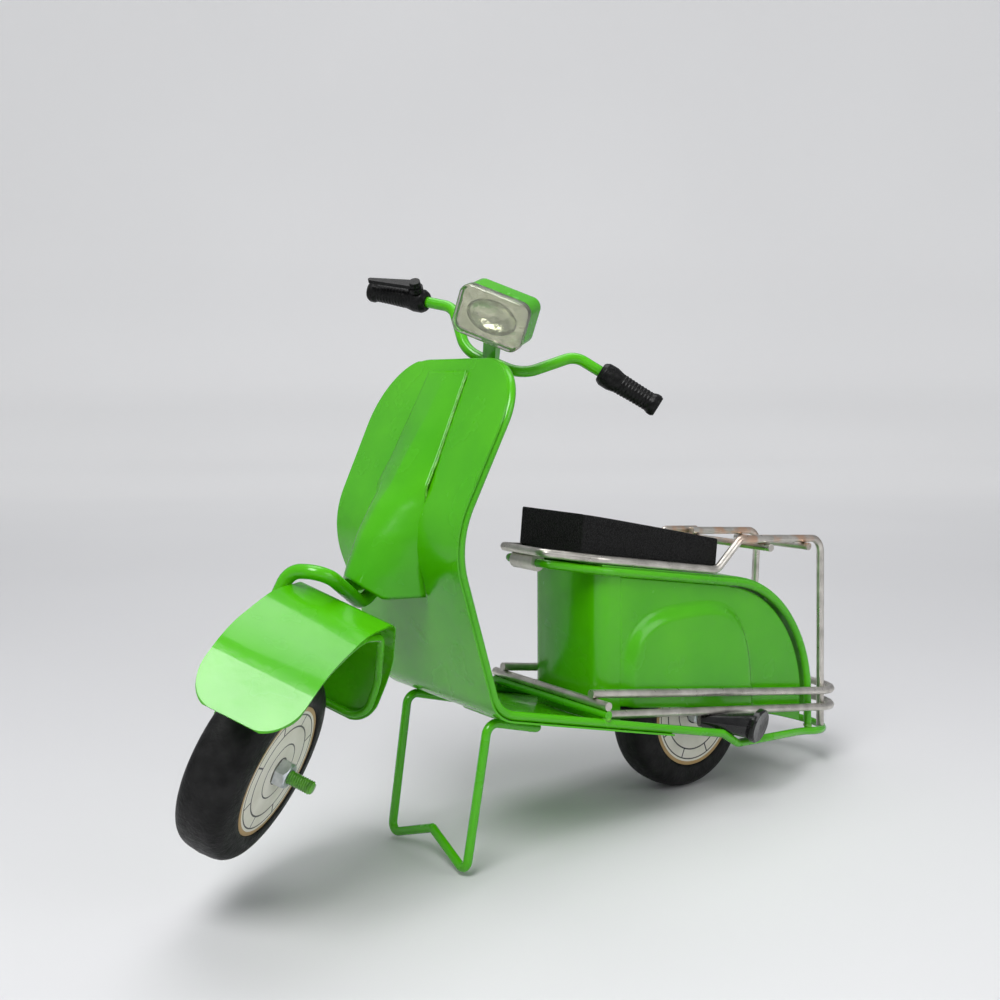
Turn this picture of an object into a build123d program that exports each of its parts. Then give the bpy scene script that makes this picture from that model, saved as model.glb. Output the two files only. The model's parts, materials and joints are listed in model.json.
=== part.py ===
from build123d import *
import math
import os

os.makedirs("parts", exist_ok=True)

# Hand-made sheet metal and wire scooter, standing on its centre stand.
# Frame: origin on the floor under the rear wheel's centre, +X rearwards,
# -Y the scooter's left side, +Z up, millimetres.
# Everything on the steering column is drawn straight ahead and then turned by rest_steer.

# ---------------------------------------------------------------- driving dimensions
running_clearance = 0.05      # radial, between a turning part and its shaft
seat_gap = 0.3                # between curved faces of two bodies that rest on each other
sheet = 0.8                   # thickness of the tin sheet

# wheels, axles and nuts
wheel_radius = 40.0
tyre_width = 23.0
tyre_shoulder = 6.5
disc_radius = 27.5
core_recess = 0.7             # how far the wheel's face lies inside the tyre's side
printed_disc = 0.4
axle_radius = 3.0             # metric 6 mm threaded rod
nut_flats = 10.0
nut_height = 5.0
nut_gap = 0.3                 # side play between a wheel and the nut beside it

# wires and rods
wire = 2.0                    # radius of the frame and rail wires
fork_radius = 3.0
bar_radius = 2.5

# shield and floor: corners of the edge wire's side view, half widths beside them
shield_top = (-138.5, 217.5)
knee = (-174.0, 146.0)
floor_bend = (-149.0, 72.0)
floor_slope = 0.2478
shield_top_half = 49.0
knee_half = 45.5
floor_half = 40.5
shield_corner = 26.0
knee_bend = 40.0
floor_bend_radius = 16.0
sheet_rear_x = -46.0          # the floor sheet ends ahead of the rear wheel
dip_start_x = -11.0
dip_end_x = 1.4
tail_plane_z = 32.5           # height of the tail wire's plane above the origin
rail_slope = 0.158            # rails and tail wire fall towards the rear

# rear loop shared by rails and tail wire
loop_rear_x = 104.0
loop_radius = 29.0
loop_half = 31.0

# steering
steer_axis_point = (-182.3, 0.0, 125.0)
steer_rake = 34.0             # column leans back from upright, degrees
rest_steer = 41.65            # turned to the left at rest, degrees
bar_height = 112.0            # along the column, from the axis point
column_foot = -10.5           # where the fork leaves the column, same measure
front_axle_x = -241.3
front_axle_z = 62.5
front_wheel_y = 6.2
fender_half = 21.0

# body shell behind the rider's feet
body_half = 27.0
crosspiece_x = -101.0
body_top_z = 110.4            # height of the body wire above the origin
body_slope = 0.165
body_rear_x = 68.0
body_arch = 70.0
panel_face = 25.8             # outside face of a side panel
bulge_height = 3.4

# seat
seat_half = 26.5
seat_rise = 5.1               # seat hoop above the body wire
cushion_half = 23.0
cushion_front_x = -88.0
cushion_rear_x = 2.0
cushion_front_height = 19.5
cushion_rear_height = 15.5

# rack
rack_half = 22.0
rack_front_x = 31.0
rack_corner_x = 85.0
rack_front_z = 128.3
rack_corner_z = 123.9

# stand
stand_half = 31.0
stand_pivot_x = -118.0
stand_elbow_x = -147.0
stand_foot_x = -158.0

# exhaust
muffler_front = (-18.0, -31.0, 43.5)
muffler_rear = (10.0, -46.5, 38.6)
muffler_radius = 6.4
muffler_tip = 3.0
muffler_cap = 8.6


# ---------------------------------------------------------------- shared helpers
def save(name, part):
    """Write one named piece to its own file."""
    part.label = name
    export_step(part, "parts/" + name + ".step")


def wire_rod(points, radius, bends):
    """A round wire along straight runs joined by bends."""
    path = FilletPolyline(*points, radius=bends)
    section = Plane(origin=path @ 0, z_dir=path % 0) * Circle(radius)
    return Part(sweep(section, path=path).wrapped)


def left_right(part):
    """A piece and its mirror image across the centre plane, as one solid."""
    return Part((part + mirror(part, about=Plane.XZ)).wrapped)


def other_side(part):
    """The mirror image of a piece across the centre plane."""
    return Part(mirror(part, about=Plane.XZ).wrapped)


def shifted(points, distance):
    """Side-view outline moved sideways by a distance, to the left of its direction."""
    moved = []
    for index, point in enumerate(points):
        before = points[max(index - 1, 0)]
        after = points[min(index + 1, len(points) - 1)]
        normals = []
        for start, end in ((before, point), (point, after)):
            length = math.hypot(end[0] - start[0], end[1] - start[1])
            if length > 0:
                normals.append(((start[1] - end[1]) / length, (end[0] - start[0]) / length))
        first, last = normals[0], normals[-1]
        share = distance / (1 + first[0] * last[0] + first[1] * last[1])
        moved.append((point[0] + share * (first[0] + last[0]), point[1] + share * (first[1] + last[1])))
    return moved


def in_side(point, y=0.0):
    """A side-view point (x, z) placed at a given y."""
    return (point[0], y, point[1])


def bent_sheet(points, bends, thickness, half_width):
    """A sheet of constant width bent along a side-view outline."""
    path = FilletPolyline(*[in_side(point) for point in points], radius=bends)
    section = Plane(origin=path @ 0, x_dir=(0, 1, 0), z_dir=path % 0) * Rectangle(2 * half_width, thickness)
    return Part(sweep(section, path=path).wrapped)


def side_prism(points, half_width):
    """A side-view polygon (x, z) extruded to both sides of the centre plane."""
    face = make_face(Polyline(*[in_side(point) for point in points], close=True))
    return Part(extrude(face, amount=half_width, dir=(0, 1, 0), both=True).wrapped)


def turned_profile(points, origin, direction):
    """A round piece from (radius, height) points, its axis starting at origin."""
    face = make_face(Polyline(*[(radius, 0, height) for radius, height in points], close=True))
    body = revolve(face, axis=Axis.Z)
    return Part((Plane(origin=origin, z_dir=direction) * body).wrapped)


def shaft(radius, start, end):
    """A plain round bar between two points."""
    run = Vector(*end) - Vector(*start)
    disc = Plane(origin=start, z_dir=run) * Circle(radius)
    return Part(extrude(disc, amount=run.length, dir=run.normalized()).wrapped)


def body_line(x):
    """Height of the body wire's centre over its straight top."""
    return body_top_z - body_slope * x


def floor_line(x):
    """Height of the floor wire's centre."""
    return floor_bend[1] - floor_slope * (x - floor_bend[0])


def tail_line(x):
    """Height of the tail wire's centre."""
    return tail_plane_z - rail_slope * x


rake = math.radians(steer_rake)
column = Vector(math.sin(rake), 0, math.cos(rake))
ahead = Vector(-math.cos(rake), 0, math.sin(rake))
steer_axis = Axis(origin=steer_axis_point, direction=tuple(column))


def on_column(height, forward=0.0, y=0.0):
    """A point by its height along the steering axis and its distance ahead of it."""
    point = Vector(*steer_axis_point) + column * height + ahead * forward
    return (point.X, y, point.Z)


def steered(part):
    """Turn a piece that was drawn straight ahead to its rest position."""
    return Part(part.rotate(steer_axis, rest_steer).wrapped)


# ---------------------------------------------------------------- wheels
def wheel_parts(axle_x, axle_z, centre_y):
    """Tyre, core and printed discs of one wheel, its axle along Y."""
    half = tyre_width / 2
    face = half - core_recess
    place = Location((axle_x, centre_y, axle_z), (90, 0, 0))
    tyre = Cylinder(wheel_radius, tyre_width)
    tyre = fillet(tyre.edges().filter_by(GeomType.CIRCLE), tyre_shoulder)
    tyre = tyre - Cylinder(disc_radius, tyre_width)
    core = Cylinder(disc_radius, 2 * face) - Cylinder(axle_radius + running_clearance, tyre_width)
    disc = Cylinder(disc_radius - 0.3, printed_disc) - Cylinder(axle_radius + 0.6, tyre_width)
    left = Pos(0, 0, face + printed_disc / 2) * disc
    right = Pos(0, 0, -face - printed_disc / 2) * disc
    return [Part((place * piece).wrapped) for piece in (tyre, core, left, right)]


def hex_nut(origin, direction):
    """A hexagon nut on the axle rod, its inner face at origin."""
    flat = RegularPolygon(nut_flats / math.sqrt(3), 6) - Circle(axle_radius)
    body = extrude(flat, amount=nut_height)
    bevel = Cone(nut_flats / 2 + 4.0, nut_flats / 2 - 0.3, nut_height, align=(Align.CENTER, Align.CENTER, Align.MIN))
    return Part((Plane(origin=origin, z_dir=direction) * (body & bevel)).wrapped)


wheel_face = tyre_width / 2 - core_recess + printed_disc
nut_offset = wheel_face + nut_gap

rear_wheel = wheel_parts(0, wheel_radius, 0)
for piece_name, piece in zip(("tyre", "core", "disc_left", "disc_right"), rear_wheel):
    save("rear_wheel_" + piece_name, piece)

front_wheel = wheel_parts(front_axle_x, front_axle_z, front_wheel_y)
for piece_name, piece in zip(("tyre", "core", "disc_left", "disc_right"), front_wheel):
    save("front_wheel_" + piece_name, steered(piece))

# rear axle, carried by two hanger plates inside the side panels
hanger_inner = panel_face - sheet - 1.6
hanger_outer = panel_face - sheet
rear_axle = shaft(axle_radius, (0, -hanger_outer, wheel_radius), (0, hanger_outer, wheel_radius))
save("rear_axle", rear_axle)
rear_nuts = []
for side in (-1, 1):
    rear_nuts.append(hex_nut((0, side * nut_offset, wheel_radius), (0, side, 0)))
    rear_nuts.append(hex_nut((0, side * hanger_inner, wheel_radius), (0, -side, 0)))
save("rear_axle_nuts", Compound(children=rear_nuts))
hanger_plate = Pos(0, (hanger_inner + hanger_outer) / 2, wheel_radius + 10) * Box(12, hanger_outer - hanger_inner, 34)
hanger_plate = hanger_plate - Pos(0, 0, wheel_radius) * Rot(90, 0, 0) * Cylinder(axle_radius, 80)
hanger_plate = Part(hanger_plate.wrapped)
save("axle_hanger_right", hanger_plate)
save("axle_hanger_left", other_side(hanger_plate))

# ---------------------------------------------------------------- shield, floor and their wires
side_corners = [shield_top, knee, floor_bend, (dip_start_x, floor_line(dip_start_x))]
sheet_corners = [shield_top, knee, floor_bend, (sheet_rear_x, floor_line(sheet_rear_x))]
outer_corners = shifted(sheet_corners, -(wire + sheet / 2))
shield_floor = bent_sheet(outer_corners, [knee_bend, floor_bend_radius], sheet, 60)
top_edge = shield_top[1] + wire
outline_points = [
    (0, -(floor_half + wire), 20),
    (0, -(floor_half + wire), 72),
    (0, -(knee_half + wire), knee[1]),
    (0, -(shield_top_half + wire), top_edge),
    (0, shield_top_half + wire, top_edge),
    (0, knee_half + wire, knee[1]),
    (0, floor_half + wire, 72),
    (0, floor_half + wire, 20),
]
corner = shield_corner + wire
outline = FilletPolyline(*outline_points, radius=[0, 40, 80, corner, corner, 80, 40, 0], close=True)
outline_block = extrude(make_face(outline), amount=260, dir=(-1, 0, 0))
shield_floor = Part((shield_floor & outline_block).wrapped)
column_hole = shaft(fork_radius + 1.5, on_column(-40), on_column(60))
shield_floor = Part((shield_floor - column_hole).wrapped)
save("shield_floor", shield_floor)

# the edge wire lies along the inner side of the sheet's edge, in three lengths
arch_drop = 45.0
side_run = (knee[0] - shield_top[0]) / (knee[1] - shield_top[1])
half_run = (shield_top_half - knee_half) / (shield_top[1] - knee[1])
arch_end = (shield_top[0] - side_run * arch_drop, shield_top_half - half_run * arch_drop, shield_top[1] - arch_drop)
arch_half = wire_rod(
    [(shield_top[0], 0, shield_top[1]), (shield_top[0], shield_top_half, shield_top[1]), arch_end],
    wire,
    [shield_corner],
)
save("shield_arch_wire", left_right(arch_half))
dip_start = (dip_start_x, floor_half - 0.5, floor_line(dip_start_x))
dip_end = (dip_end_x, floor_half - 1.5, tail_line(dip_end_x) - 2.0)
tail_corner_x = loop_rear_x - 5.0
tail_half = loop_half - 1.5
edge_wire = wire_rod(
    [
        arch_end,
        (knee[0], knee_half, knee[1]),
        (floor_bend[0], floor_half, floor_bend[1]),
        dip_start,
        dip_end,
        (27.0, floor_half - 2.5, tail_line(27.0)),
    ],
    wire,
    [knee_bend, floor_bend_radius, 4.0, 4.0],
)
save("floor_wire_right", edge_wire)
save("floor_wire_left", other_side(edge_wire))
tail_wire = wire_rod(
    [
        (27.0, floor_half - 2.5, tail_line(27.0)),
        (62.0, tail_half, tail_line(62.0)),
        (tail_corner_x, tail_half, tail_line(tail_corner_x)),
        (tail_corner_x, 0, tail_line(tail_corner_x)),
    ],
    wire,
    [50.0, loop_radius - 1.5],
)
save("tail_wire", left_right(tail_wire))

# two bars across the front of the floor
bar_x = -88.0
floor_bar_z = floor_line(bar_x) + 2 * wire
save("floor_crossbar", shaft(wire, (bar_x, -42, floor_bar_z), (bar_x, 42, floor_bar_z)))
rail_bar_z = floor_bar_z + 2 * wire
save("rail_crossbar", shaft(wire, (bar_x, -42, rail_bar_z), (bar_x, 42, rail_bar_z)))

# ---------------------------------------------------------------- nose cover and steering tube
cover_heights = [214.0, 196.0, 178.0, 163.0, 158.0, 146.0, 131.0, 120.5]
cover_ridges = [-143.6, -154.0, -166.0, -173.0, -181.0, -188.0, -195.0, -199.0]
cover_halves = [14.0, 15.5, 17.5, 19.0, 19.5, 19.5, 18.5, 17.5]
cover_shoulders = [0.12, 0.12, 0.14, 0.18, 0.36, 0.42, 0.42, 0.42]


def shield_face(z):
    """x of the shield's front face at a height, on its two straight runs."""
    front = shifted(sheet_corners, -(wire + sheet + 0.15))
    upper = front[1][0] + (z - front[1][1]) * (front[0][0] - front[1][0]) / (front[0][1] - front[1][1])
    lower = front[1][0] + (z - front[1][1]) * (front[2][0] - front[1][0]) / (front[2][1] - front[1][1])
    rounding = max(0.0, 5.2 - abs(z - front[1][1]) * 0.28)
    return max(upper, lower) + rounding


def cover_rows(inset):
    """Grid of points over the folded cover, moved inwards by an inset."""
    rows = []
    for z, ridge, half, shoulder in zip(cover_heights, cover_ridges, cover_halves, cover_shoulders):
        base = shield_face(z)
        depth = base - ridge
        row = []
        for share in (-1.0, -0.55, 0.0, 0.55, 1.0):
            lift = 1 - abs(share)
            lift = lift + shoulder * math.sin(math.pi * abs(share)) * 0.6
            x = base - depth * lift + (inset if abs(share) < 1 else 0)
            y = share * (half - (inset if abs(share) == 1 else 0))
            row.append((x, y, z))
        rows.append(row)
    return rows


def shell_between(outer, inner):
    """A thin solid between two grids of points, closed around its rim."""
    faces = []

    def patch(a, b, c, d):
        faces.append(Face(Wire.make_polygon([a, b, c])))
        faces.append(Face(Wire.make_polygon([a, c, d])))

    last_row = len(outer) - 1
    last_column = len(outer[0]) - 1
    for i in range(last_row):
        for j in range(last_column):
            patch(outer[i][j], outer[i + 1][j], outer[i + 1][j + 1], outer[i][j + 1])
            patch(inner[i][j], inner[i][j + 1], inner[i + 1][j + 1], inner[i + 1][j])
        patch(outer[i][0], inner[i][0], inner[i + 1][0], outer[i + 1][0])
        patch(outer[i][last_column], outer[i + 1][last_column], inner[i + 1][last_column], inner[i][last_column])
    for j in range(last_column):
        patch(outer[0][j], outer[0][j + 1], inner[0][j + 1], inner[0][j])
        patch(outer[last_row][j], inner[last_row][j], inner[last_row][j + 1], outer[last_row][j + 1])
    return Part(Solid(Shell(faces)).wrapped)


# The fork turns inside the cover's foot, so the space it sweeps is cut out of the fold.
sweep_clearance = 0.6
sweep_top = column_foot + fork_radius + sweep_clearance
sweep_bottom = column_foot - fork_radius - 2 * sweep_clearance
sweep_level = 11.0              # the fork's first run is square to the column this far out
sweep_reach = 17.0
sweep_drop = 1.8                # how far the fork falls between those two
sweep_face = Face(Wire.make_polygon([
    on_column(sweep_top), on_column(sweep_top, sweep_level), on_column(sweep_top - sweep_drop, sweep_reach),
    on_column(sweep_bottom - sweep_drop, sweep_reach), on_column(sweep_bottom - sweep_drop),
]))
fork_sweep = revolve(sweep_face, axis=steer_axis)
folded_cover = shell_between(cover_rows(0.0), cover_rows(sheet))
save("nose_cover", Part((folded_cover - fork_sweep).wrapped))

tube_bore = fork_radius + running_clearance
tube_outer = 5.0
tube_foot = 41.0
tube_head = 96.0
steering_tube = shaft(tube_outer, on_column(tube_foot), on_column(tube_head))
steering_tube = Part((steering_tube - shaft(tube_bore, on_column(0), on_column(130))).wrapped)
save("steering_tube", steering_tube)
gusset_side = [on_column(height, ahead_by) for height, ahead_by in ((92, 4.9), (92, 30), (52, 30), (52, 4.9))]
gusset = make_face(Polyline(*gusset_side, close=True))
gusset = Part(extrude(gusset, amount=1.0, dir=(0, 1, 0), both=True).wrapped)
behind_shield = shifted(sheet_corners[:2], -wire + 0.1)
gusset_limit = [behind_shield[0], behind_shield[1], (-100, knee[1]), (-100, shield_top[1])]
gusset = Part((gusset & side_prism(gusset_limit, 5)).wrapped)
save("column_gusset", gusset)

# ---------------------------------------------------------------- stand, folding about a tube under the floor
floor_under = wire + sheet
tube_wall = 1.2
stand_tube_outer = wire + running_clearance + tube_wall
cos_floor = math.cos(math.atan(floor_slope))
pivot_drop = (floor_under + stand_tube_outer) / cos_floor
stand_pivot_z = floor_line(stand_pivot_x) - pivot_drop
arm_drop = (floor_under + wire + seat_gap) / cos_floor
elbow_z = floor_line(stand_elbow_x) - arm_drop
half_stand = wire_rod(
    [
        (stand_pivot_x, 0, stand_pivot_z),
        (stand_pivot_x, stand_half, stand_pivot_z),
        (stand_elbow_x, stand_half, elbow_z),
        (stand_foot_x, stand_half - 1.5, wire),
        (stand_foot_x + 3.0, 0, 12.4),
    ],
    wire,
    [5.0, 5.0, 4.0],
)
save("stand_wire", left_right(half_stand))
hinge_half = 24.0
stand_tube = shaft(stand_tube_outer, (stand_pivot_x, -hinge_half, stand_pivot_z), (stand_pivot_x, hinge_half, stand_pivot_z))
stand_bore = shaft(wire + running_clearance, (stand_pivot_x, -30, stand_pivot_z), (stand_pivot_x, 30, stand_pivot_z))
save("stand_hinge_tube", Part((stand_tube - stand_bore).wrapped))

# ---------------------------------------------------------------- rails, rack and exhaust
def rail(front_x, front_half, height_at_origin):
    """One U-shaped rail in its sloping plane, front end to front end."""
    def at(x, y):
        return (x, y, height_at_origin - rail_slope * x)

    half = wire_rod(
        [at(front_x, front_half), at(45, loop_half + 0.6), at(loop_rear_x, loop_half), at(loop_rear_x, 0)],
        wire,
        [60.0, loop_radius],
    )
    return left_right(half)


upper_rail_origin = rail_bar_z + 2 * wire + rail_slope * bar_x
lower_rail_origin = upper_rail_origin - 9.0
save("upper_rail", rail(bar_x - 2.5, 32.7, upper_rail_origin))
save("lower_rail", rail(bar_x + wire + 0.1, 36.5, lower_rail_origin))

loop_centre_x = loop_rear_x - loop_radius
post_reach = loop_radius - 2 * wire - 0.1
post_foot_x = 84.4
post_foot_y = loop_half - loop_radius + math.sqrt(post_reach ** 2 - (post_foot_x - loop_centre_x) ** 2)
post_foot_z = tail_line(post_foot_x) + wire + 0.1
rack_rail = wire_rod(
    [
        (rack_front_x, rack_half, rack_front_z),
        (rack_corner_x, rack_half, rack_corner_z),
        (post_foot_x, post_foot_y, post_foot_z),
    ],
    wire,
    [8.0],
)
save("rack_rail_right", rack_rail)
save("rack_rail_left", other_side(rack_rail))


def rack_line(x):
    """Height of the rack rails' centre."""
    return rack_front_z + (rack_corner_z - rack_front_z) * (x - rack_front_x) / (rack_corner_x - rack_front_x)


rack_bar_front_x = 35.5
rack_bar_rear_x = 71.0
for bar_name, cross_x, cross_half in (("front", rack_bar_front_x, 29.5), ("rear", rack_bar_rear_x, 25.5)):
    cross_z = rack_line(cross_x) - 2 * wire
    save("rack_crossbar_" + bar_name, shaft(wire, (cross_x, -cross_half, cross_z), (cross_x, cross_half, cross_z)))

muffler_run = Vector(*muffler_rear) - Vector(*muffler_front)
muffler_length = muffler_run.length
cap_length = 3.0
muffler_profile = [
    (0, 0),
    (muffler_tip, 0),
    (muffler_tip + 1.2, muffler_length * 0.3),
    (muffler_radius, muffler_length * 0.85),
    (muffler_radius, muffler_length - cap_length),
    (0, muffler_length - cap_length),
]
cap_facing = Vector(0.25, -0.93, -0.20).normalized()   # the cap is bent round to face outwards
cap_back = Vector(*muffler_rear) - cap_facing * cap_length
cap_rim = 0.8
beyond_cap = shaft(muffler_cap + 6, tuple(cap_back), tuple(cap_back + cap_facing * muffler_length))
muffler_body = turned_profile(muffler_profile, muffler_front, muffler_run.normalized())
save("muffler", Part((muffler_body - beyond_cap).wrapped))
cap_profile = [
    (0, 0),
    (muffler_cap, 0),
    (muffler_cap, cap_length - cap_rim),
    (muffler_cap - cap_rim, cap_length),
    (0, cap_length - cap_rim),
]
save("muffler_cap", turned_profile(cap_profile, tuple(cap_back), cap_facing))

# ---------------------------------------------------------------- body shell
rear_corner = (body_rear_x, body_line(body_rear_x))
body_foot_z = tail_line(body_rear_x + 3) + 2 * wire
body_foot = (body_rear_x + 3.0, body_foot_z)
body_wire = wire_rod(
    [
        (crosspiece_x, 0, body_line(crosspiece_x)),
        (crosspiece_x, 14.0, body_line(crosspiece_x)),
        (-76.0, body_half, body_line(-76.0)),
        in_side(rear_corner, body_half),
        in_side(body_foot, body_half),
    ],
    wire,
    [5.0, 20.0, body_arch],
)
save("body_wire", left_right(body_wire))

cover_path = [(-79.0, body_line(-79.0)), rear_corner, (body_foot[0] - 0.6, body_foot[1] + 6)]
cover_corners = shifted(cover_path, wire + sheet / 2 + 0.05)
top_cover = bent_sheet(cover_corners, [body_arch + wire + sheet / 2], sheet, body_half)
save("top_cover", top_cover)

# the panels' outline lies just inside the wire and ends above the rails
panel_front_x = -66.0
panel_rear_foot = (body_rear_x - 1.0, body_foot[1] + 2.0)
inner_path = shifted([(panel_front_x, body_line(panel_front_x)), rear_corner, body_foot], -(wire + 0.1))
panel_edge = FilletPolyline(*[in_side(point) for point in inner_path], radius=[body_arch - wire])
panel_bottom = [
    inner_path[2],
    (42.0, 35.0),
    (30.0, 41.5),
    (panel_front_x, 57.7),
    inner_path[0],
]
panel_outline = make_face([*panel_edge.edges(), *Polyline(*[in_side(point) for point in panel_bottom]).edges()])
panel_plate = extrude(panel_outline, amount=sheet, dir=(0, 1, 0))
panel_plate = Pos(0, panel_face - sheet, 0) * panel_plate

bulge_points = [(-62.0, 58.5), (-56.0, 88.0), (-40.0, 101.0), (2.0, 97.5), (22.0, 84.0), (26.0, 43.5)]


def bulge_block(inset, height):
    """The pressed bulge as a solid block with sloping sides."""
    bottom = shifted(bulge_points, -inset)
    top = shifted(bulge_points, -(inset + height * 1.1))
    lower = FilletPolyline(*[in_side(point) for point in bottom], radius=[14, 14, 16, 14], close=False)
    upper = FilletPolyline(*[in_side(point) for point in top], radius=[12, 12, 14, 12], close=False)
    lower_face = make_face([*lower.edges(), Line(lower @ 1, lower @ 0)])
    upper_face = make_face([*upper.edges(), Line(upper @ 1, upper @ 0)])
    block = loft([Pos(0, 0, 0) * lower_face, Pos(0, height, 0) * upper_face])
    return block


bulge_outer = Pos(0, panel_face - 0.1, 0) * bulge_block(0.0, bulge_height + 0.1)
bulge_inner = Pos(0, panel_face - sheet - 0.1, 0) * bulge_block(1.0, bulge_height + 0.1)
side_panel = panel_plate + bulge_outer - bulge_inner
side_panel = Part(side_panel.wrapped)
save("side_panel_right", side_panel)
save("side_panel_left", other_side(side_panel))

# front panel: a U in plan, leaning a little, its flanges butted against the side panels
front_panel_x = -82.5
front_half = panel_face - sheet / 2
front_path = FilletPolyline(
    (panel_front_x - 0.1, front_half, 50),
    (front_panel_x + 5, front_half - 1.5, 50),
    (front_panel_x, 0, 50),
    (front_panel_x + 5, -front_half + 1.5, 50),
    (panel_front_x - 0.1, -front_half, 50),
    radius=[9.0, 60.0, 9.0],
)
front_ribbon = offset(front_path, amount=sheet / 2, side=Side.BOTH)
front_panel = extrude(make_face(front_ribbon), amount=90, dir=(0, 0, 1))
front_limit = [
    (-100, floor_line(-100) - wire + 0.05),
    (-100, body_line(-100) - wire),
    (-60, body_line(-60) - wire - 0.1),
    (-60, floor_line(-60) - wire + 0.05),
]
front_panel = Part((front_panel & side_prism(front_limit, 40)).wrapped)
save("front_panel", front_panel)

# ---------------------------------------------------------------- seat, hinged on the body wire's crosspiece
def seat_line(x):
    """Height of the seat hoop's centre."""
    return body_line(x) + seat_rise


sleeve_outer = 4.0
sleeve_half = 8.0
sleeve_z = body_line(crosspiece_x)
sleeve = shaft(sleeve_outer, (crosspiece_x, -sleeve_half, sleeve_z), (crosspiece_x, sleeve_half, sleeve_z))
sleeve = sleeve - shaft(wire + running_clearance, (crosspiece_x, -20, sleeve_z), (crosspiece_x, 20, sleeve_z))
save("seat_hinge_sleeve", Part(sleeve.wrapped))

hoop_front_x = crosspiece_x - 2.6
hoop_front_z = sleeve_z + math.sqrt((sleeve_outer + wire + 0.05) ** 2 - 2.6 ** 2)
hoop_tip_z = rack_line(rack_bar_front_x) + seat_gap + 0.3
seat_hoop = wire_rod(
    [
        (hoop_front_x, 0, hoop_front_z),
        (hoop_front_x, 15.0, hoop_front_z),
        (-78.0, seat_half, seat_line(-78.0)),
        (-2.0, seat_half, seat_line(-2.0)),
        (15.0, seat_half, hoop_tip_z + 1.2),
        (39.0, seat_half, hoop_tip_z - 0.6),
    ],
    wire,
    [5.0, 20.0, 7.0, 5.0],
)
save("seat_hoop", left_right(seat_hoop))

plate_half_thickness = 0.6
plate_edge = seat_half - wire - 0.05
plate_ends = [(cushion_front_x + 6, seat_line(cushion_front_x + 6)), (cushion_rear_x - 6, seat_line(cushion_rear_x - 6))]
plate_side = shifted(plate_ends, plate_half_thickness) + shifted(plate_ends, -plate_half_thickness)[::-1]
save("seat_plate", side_prism(plate_side, plate_edge))

cushion_bottom = [
    (cushion_front_x, seat_line(cushion_front_x) + plate_half_thickness),
    (cushion_rear_x, seat_line(cushion_rear_x) + plate_half_thickness),
]
lean = 0.10
cushion_side = [
    cushion_bottom[0],
    (cushion_front_x + lean * cushion_front_height, cushion_bottom[0][1] + cushion_front_height),
    (cushion_rear_x + lean * cushion_rear_height, cushion_bottom[1][1] + cushion_rear_height),
    cushion_bottom[1],
]
save("seat_cushion", side_prism(cushion_side, cushion_half))

# ---------------------------------------------------------------- steering: column, fork, handlebar
tab_inner_y = front_wheel_y + nut_offset + nut_height + 0.1
tab_thickness = 3.0
leg_y = tab_inner_y + fork_radius - 0.2
fender_leg_y = fender_half + fork_radius + 0.15
fork_rod = wire_rod(
    [
        on_column(bar_height - bar_radius - 0.05),
        on_column(column_foot),
        on_column(column_foot + 0.5, 37.5, 9.0),
        (-217.5, fender_leg_y, 131.0),
        (front_axle_x + 2.0, leg_y, front_axle_z + 9.0),
    ],
    fork_radius,
    [8.0, 8.0, 8.0],
)
tab_body = Box(10, tab_thickness, 17, align=(Align.CENTER, Align.MIN, Align.CENTER))
tab_body = Pos(front_axle_x, tab_inner_y, front_axle_z + 2.5) * tab_body
axle_eye = shaft(axle_radius, (front_axle_x, 0, front_axle_z), (front_axle_x, 60, front_axle_z))
fork = Part((fork_rod + tab_body - axle_eye).wrapped)
save("fork", steered(fork))

stub_length = 10.5
thread_crest = axle_radius - 0.1     # the free thread is cut a little under the rod's size
stub_start_y = front_wheel_y - nut_offset - nut_height
stub_end_y = stub_start_y - stub_length
free_thread = shaft(
    thread_crest,
    (front_axle_x, stub_end_y, front_axle_z),
    (front_axle_x, stub_start_y + 1, front_axle_z),
)
front_axle = free_thread + shaft(
    axle_radius,
    (front_axle_x, stub_start_y, front_axle_z),
    (front_axle_x, tab_inner_y + tab_thickness, front_axle_z),
)
save("front_axle", steered(Part(front_axle.wrapped)))
front_nuts = [
    hex_nut((front_axle_x, front_wheel_y - nut_offset, front_axle_z), (0, -1, 0)),
    hex_nut((front_axle_x, front_wheel_y + nut_offset, front_axle_z), (0, 1, 0)),
]
save("front_axle_nuts", Compound(children=[steered(nut) for nut in front_nuts]))

grip_start = Vector(-104.0, 43.9, 228.9)
grip_end = Vector(-101.7, 73.3, 223.4)
bar_centre = on_column(bar_height)
handlebar_half = wire_rod(
    [
        bar_centre,
        (bar_centre[0] + 0.5, 14.0, bar_centre[2] - 0.2),
        tuple(grip_start - (grip_end - grip_start).normalized() * 13.4),
        tuple(grip_end - (grip_end - grip_start).normalized() * 3),
    ],
    bar_radius,
    [16.0, 9.0],
)
save("handlebar", steered(left_right(handlebar_half)))

# fender: a bent strip with rounded corners and a wire loop inside its edge
fender_corners = [(-288.5, 106.0), (-265.0, 124.0), (-236.0, 129.0), (-206.5, 124.0), (-190.5, 96.0), (-197.0, 70.0)]
fender_bends = [40.0, 50.0, 15.0, 25.0]
fender = bent_sheet(shifted(fender_corners, sheet / 2), fender_bends, sheet, fender_half)
plan_points = [(-289.0, -fender_half, 0), (-289.0, fender_half, 0), (-150, fender_half, 0), (-150, -fender_half, 0)]
plan_shape = make_face(FilletPolyline(*plan_points, radius=[13, 13, 0, 0], close=True))
fender_plan = extrude(plan_shape, amount=200, dir=(0, 0, 1))
rear_points = [(0, -fender_half, 69.8), (0, fender_half, 69.8), (0, fender_half, 200), (0, -fender_half, 200)]
rear_shape = make_face(FilletPolyline(*rear_points, radius=[11, 11, 0, 0], close=True))
fender_rear = extrude(rear_shape, amount=400, dir=(-1, 0, 0))
fender = Part((fender & fender_plan & fender_rear).wrapped)
save("fender", steered(fender))

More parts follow.
